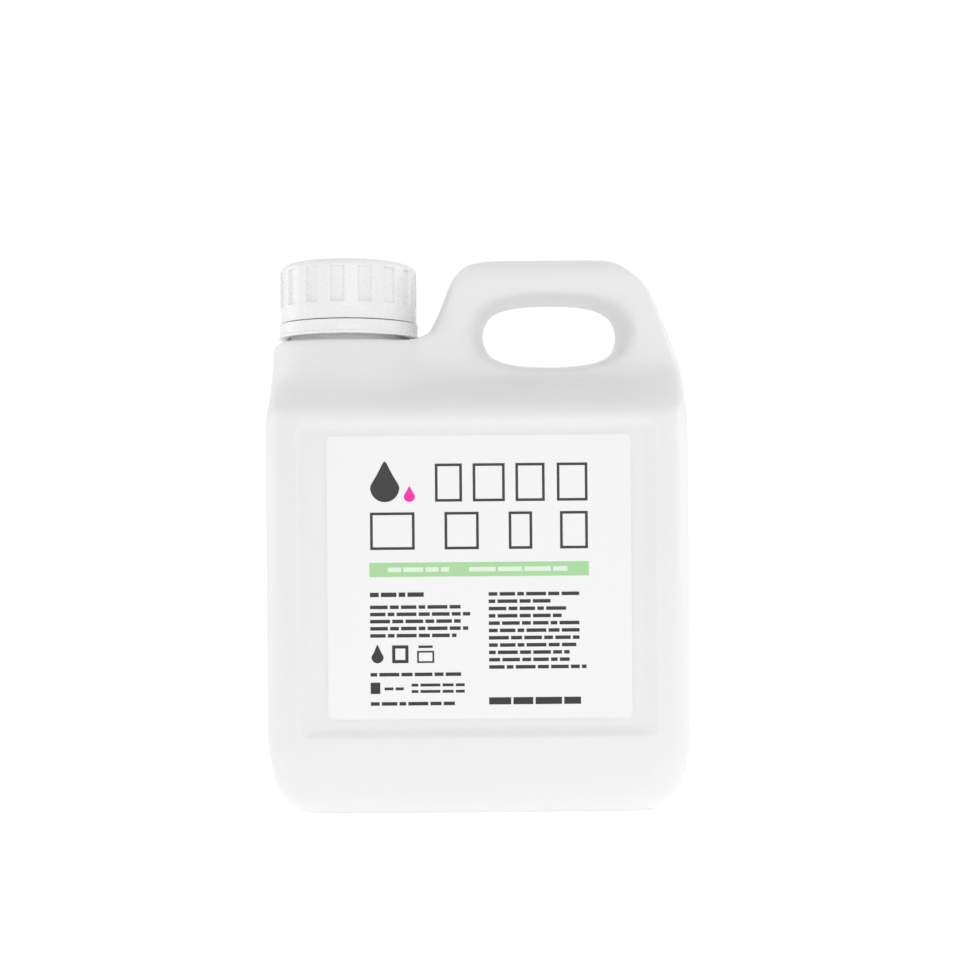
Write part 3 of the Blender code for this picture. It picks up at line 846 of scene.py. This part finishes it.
# %% One colour function, one node function
def linear(hex_colour):
    parts = [int(hex_colour[place : place + 2], 16) / 255 for place in (1, 3, 5)]
    return tuple(c / 12.92 if c <= 0.04045 else ((c + 0.055) / 1.055) ** 2.4 for c in parts) + (1,)


def new_material(name):
    made = bpy.data.materials.new(name)
    made.use_nodes = True
    return made, made.node_tree, made.node_tree.nodes["Principled BSDF"]


def add_node(tree, kind, settings=(), **inputs):
    """Add a node. An input is a value, or a socket of another node, which is then linked."""
    node = tree.nodes.new(kind)
    for name, value in dict(settings).items():
        setattr(node, name, value)
    set_inputs(tree, node, **inputs)
    return node


def set_inputs(tree, node, **inputs):
    for name, value in inputs.items():
        socket = node.inputs[int(name[1:])] if name[1:].isdigit() else node.inputs[name.replace("_", " ")]
        if isinstance(value, bpy.types.NodeSocket):
            tree.links.new(value, socket)
        else:
            socket.default_value = value


def wear(piece, material):
    piece.data.materials.clear()
    piece.data.materials.append(material)


# %% [markdown]
# ## Natural HDPE, blow moulded
# High-density polyethylene without pigment is milky: light goes in a few millimetres and comes out
# softened, which Subsurface gives. Its skin took the mould's fine blasted surface, so its gloss is
# broad. Three things make the bump: that fine skin, the slow ripple of a thin blown wall, and the
# parting line, where the two halves of the mould met on the middle plane.

# %% Make the natural HDPE
hdpe, tree, skin = new_material("natural_hdpe_blow_moulded")
place = add_node(tree, "ShaderNodeTexCoord").outputs["Object"]
# The blasted mould's grain is about 0.15 mm. It is drawn at 0.6 mm, or it would not show.
grain = add_node(tree, "ShaderNodeTexNoise", Vector=place, Scale=1 / (0.6 * MM), Detail=2.0)
ripple = add_node(tree, "ShaderNodeTexNoise", Vector=place, Scale=1 / (24 * MM), Detail=1.0)
apart = add_node(tree, "ShaderNodeSeparateXYZ", Vector=place)
off_middle = add_node(tree, "ShaderNodeMath", {"operation": "ABSOLUTE"}, _0=apart.outputs["Y"])
seam = add_node(
    tree,
    "ShaderNodeMapRange",
    {"interpolation_type": "SMOOTHSTEP"},
    Value=off_middle.outputs[0],
    From_Min=0.05 * MM,
    From_Max=0.3 * MM,
    To_Min=1.0,
    To_Max=0.0,
)
tone = add_node(
    tree,
    "ShaderNodeMix",
    {"data_type": "RGBA"},
    Factor=ripple.outputs["Fac"],
    _6=linear("#F0F1F0"),
    _7=linear("#F2F3F2"),
)
gloss = add_node(tree, "ShaderNodeMapRange", Value=grain.outputs["Fac"], To_Min=0.36, To_Max=0.46)
grain_bump = add_node(tree, "ShaderNodeBump", Height=grain.outputs["Fac"], Distance=0.01 * MM, Strength=0.5)
ripple_bump = add_node(
    tree, "ShaderNodeBump", Height=ripple.outputs["Fac"], Normal=grain_bump.outputs[0],
    Distance=0.25 * MM, Strength=0.6,
)
seam_bump = add_node(
    tree, "ShaderNodeBump", Height=seam.outputs[0], Normal=ripple_bump.outputs[0],
    Distance=0.12 * MM, Strength=0.8,
)
set_inputs(
    tree,
    skin,
    Base_Color=tone.outputs[2],
    Roughness=gloss.outputs[0],
    IOR=1.54,
    Subsurface_Weight=0.35,
    Subsurface_Radius=(2.2 * MM, 2.2 * MM, 2.2 * MM),
    Subsurface_Scale=1.0,
    Normal=seam_bump.outputs[0],
)
wear(bottle, hdpe)

# %% [markdown]
# ## White polypropylene, injection moulded
# The cap and band are filled with white pigment, so they are opaque. A polished steel mould gives
# them a closer gloss than the jerrycan, with a trace of orange peel.

# %% Make the polypropylene
polypropylene, tree, skin = new_material("white_polypropylene_moulded")
place = add_node(tree, "ShaderNodeTexCoord").outputs["Object"]
peel = add_node(tree, "ShaderNodeTexNoise", Vector=place, Scale=1 / (1.1 * MM), Detail=1.0)
gloss = add_node(tree, "ShaderNodeMapRange", Value=peel.outputs["Fac"], To_Min=0.24, To_Max=0.32)
tone = add_node(
    tree, "ShaderNodeMix", {"data_type": "RGBA"}, Factor=peel.outputs["Fac"],
    _6=linear("#F1F1F1"), _7=linear("#F4F4F4"),
)
bump = add_node(tree, "ShaderNodeBump", Height=peel.outputs["Fac"], Distance=0.015 * MM, Strength=0.5)
set_inputs(
    tree,
    skin,
    Base_Color=tone.outputs[2],
    Roughness=gloss.outputs[0],
    IOR=1.5,
    Subsurface_Weight=0.1,
    Subsurface_Radius=(0.8 * MM, 0.8 * MM, 0.8 * MM),
    Subsurface_Scale=1.0,
    Normal=bump.outputs[0],
)
wear(cap, polypropylene)
wear(band, polypropylene)

# %% [markdown]
# ## Foam, soap, film and inks
# The sealing disc is expanded polyethylene, with fine closed cells. The soap is a clear, slightly
# pearly liquid. The label is satin polypropylene film, and its inks are thin, even and a bit glossy.

# %% Make the rest
foam, tree, skin = new_material("expanded_polyethylene_foam")
place = add_node(tree, "ShaderNodeTexCoord").outputs["Object"]
cells = add_node(tree, "ShaderNodeTexVoronoi", Vector=place, Scale=1 / (0.5 * MM))
bump = add_node(tree, "ShaderNodeBump", Height=cells.outputs["Distance"], Distance=0.05 * MM, Strength=0.6)
tone = add_node(
    tree, "ShaderNodeMix", {"data_type": "RGBA"}, Factor=cells.outputs["Distance"],
    _6=linear("#E4E4E0"), _7=linear("#F2F2EF"),
)
set_inputs(tree, skin, Base_Color=tone.outputs[2], Roughness=0.75, Normal=bump.outputs[0])
wear(disc, foam)

soap, tree, skin = new_material("liquid_hand_soap")
place = add_node(tree, "ShaderNodeTexCoord").outputs["Object"]
pearl = add_node(tree, "ShaderNodeTexNoise", Vector=place, Scale=1 / (14 * MM), Detail=3.0, Distortion=1.2)
tone = add_node(
    tree, "ShaderNodeMix", {"data_type": "RGBA"}, Factor=pearl.outputs["Fac"],
    _6=linear("#EEF4EC"), _7=linear("#FBFCF8"),
)
set_inputs(tree, skin, Base_Color=tone.outputs[2], Roughness=0.05, IOR=1.36, Transmission_Weight=0.7)
wear(liquid, soap)

film, tree, skin = new_material("satin_polypropylene_film")
place = add_node(tree, "ShaderNodeTexCoord").outputs["Object"]
fibre = add_node(tree, "ShaderNodeTexNoise", Vector=place, Scale=1 / (0.35 * MM), Detail=3.0)
tone = add_node(
    tree, "ShaderNodeMix", {"data_type": "RGBA"}, Factor=fibre.outputs["Fac"],
    _6=linear("#F3F3F3"), _7=linear("#F5F5F5"),
)
bump = add_node(tree, "ShaderNodeBump", Height=fibre.outputs["Fac"], Distance=0.004 * MM, Strength=0.5)
set_inputs(tree, skin, Base_Color=tone.outputs[2], Roughness=0.42, Normal=bump.outputs[0])
wear(label, film)


def ink_material(name, one, other):
    """A printed ink. It lies a little unevenly, so its colour changes slightly over half a millimetre."""
    made, tree, skin = new_material(name)
    place = add_node(tree, "ShaderNodeTexCoord").outputs["Object"]
    mottle = add_node(tree, "ShaderNodeTexNoise", Vector=place, Scale=1 / (0.5 * MM), Detail=2.0)
    tone = add_node(
        tree, "ShaderNodeMix", {"data_type": "RGBA"}, Factor=mottle.outputs["Fac"],
        _6=linear(one), _7=linear(other),
    )
    set_inputs(tree, skin, Base_Color=tone.outputs[2], Roughness=0.4)
    return made


wear(dark_print, ink_material("black_offset_ink", "#1F1F1F", "#2A2A2A"))
wear(green_print, ink_material("pale_green_offset_ink", "#A5D89A", "#AEDDA4"))
wear(pink_print, ink_material("magenta_offset_ink", "#F000A0", "#F81CAC"))
wear(pale_print, ink_material("unprinted_gap_in_the_green", "#E3F1DF", "#E8F4E5"))

# %% [markdown]
# ## Put the pieces on the moving bodies
# The jerrycan's body carries everything that stays put. The disc rises with the cap, and the cap
# also turns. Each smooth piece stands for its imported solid, which is then hidden.

# %% Ride and replace
piece_of = {
    "bottle": (bottle, "jerrycan", "natural_hdpe"),
    "tamper_band": (band, "jerrycan", "cap_plastic"),
    "front_label": (label, "jerrycan", "label_film"),
    "liquid_soap": (liquid, "jerrycan", "liquid"),
    "cap_liner": (disc, "cap_seal", "liner_foam"),
    "screw_cap": (cap, "cap", "cap_plastic"),
}
for node, (piece, body, slot) in piece_of.items():
    make_active(piece)
    bpy.ops.object.shade_smooth_by_angle(angle=math.radians(35))
    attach(piece, body)
    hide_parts(node)
for piece in (dark_print, green_print, pink_print, pale_print):
    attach(piece, "jerrycan")
print("pieces:", [piece.name for piece, _, _ in piece_of.values()])

# %% [markdown]
# ## A white studio
# The pack stands on a lit white acrylic table in a white surround, so its own shape gives the only
# greys. Light falls on it more weakly than the surround looks, which World does with Light Path.
# A wide softbox stands behind the camera, and a tall one on each side, the right one brighter. One
# more lights the back, for when the pack is seen from there.

# %% Floor, surround and softboxes
leave_edit()
bpy.ops.object.select_all(action="DESELECT")
bpy.ops.mesh.primitive_circle_add(vertices=96, radius=0.6, fill_type="NGON", location=(0, 0, -0.05 * MM))
floor = bpy.context.object
floor.name = "floor"
acrylic, tree, skin = new_material("lit_white_acrylic_table")
set_inputs(
    tree, skin, Base_Color=(0.9, 0.9, 0.9, 1), Roughness=0.7, Emission_Color=(1, 1, 1, 1),
    Emission_Strength=0.34,
)
wear(floor, acrylic)

world = bpy.data.worlds.new("white surround")
bpy.context.scene.world = world
world.use_nodes = True
path = add_node(world.node_tree, "ShaderNodeLightPath")
strength = add_node(
    world.node_tree, "ShaderNodeMapRange", Value=path.outputs["Is Diffuse Ray"], To_Min=1.04, To_Max=0.7
)
background = world.node_tree.nodes["Background"]
set_inputs(world.node_tree, background, Color=(1, 1, 1, 1), Strength=strength.outputs[0])


def softbox(name, place, aim, width, height, watts):
    light = bpy.data.lights.new(name, "AREA")
    light.shape = "RECTANGLE"
    light.size, light.size_y, light.energy = width, height, watts
    made = bpy.data.objects.new(name, light)
    bpy.context.scene.collection.objects.link(made)
    made.location = place
    made.rotation_euler = (Vector(aim) - Vector(place)).to_track_quat("-Z", "Y").to_euler()
    return made


middle = (0, 0, 80 * MM)
softbox("front softbox", (0.1, -1.2, 0.35), middle, 0.9, 0.5, 2.0)
softbox("left softbox", (-0.9, 0.2, 0.25), middle, 0.5, 0.8, 1.2)
softbox("right softbox", (0.8, 0.15, 0.25), middle, 0.5, 0.8, 1.4)
softbox("back softbox", (0, 1.2, 0.6), middle, 0.9, 0.5, 0.3)

# %% [markdown]
# ## The camera
# A 50 mm lens stands 0.41 m in front of the pack, level with its upper part and looking straight
# ahead. It is tilted to one side by half a degree, as a camera on a tripod often is.

# %% Place the camera
camera = bpy.data.objects.new("camera", bpy.data.cameras.new("camera"))
bpy.context.scene.collection.objects.link(camera)
camera.data.lens = 50
camera.data.sensor_width = 36
camera.location = (0.86 * MM, -410.6 * MM, 95 * MM)
camera.rotation_euler = (math.pi / 2, math.radians(0.48), 0)
camera.data.clip_start = 0.01
bpy.context.scene.camera = camera
bpy.context.scene.view_settings.view_transform = "Standard"
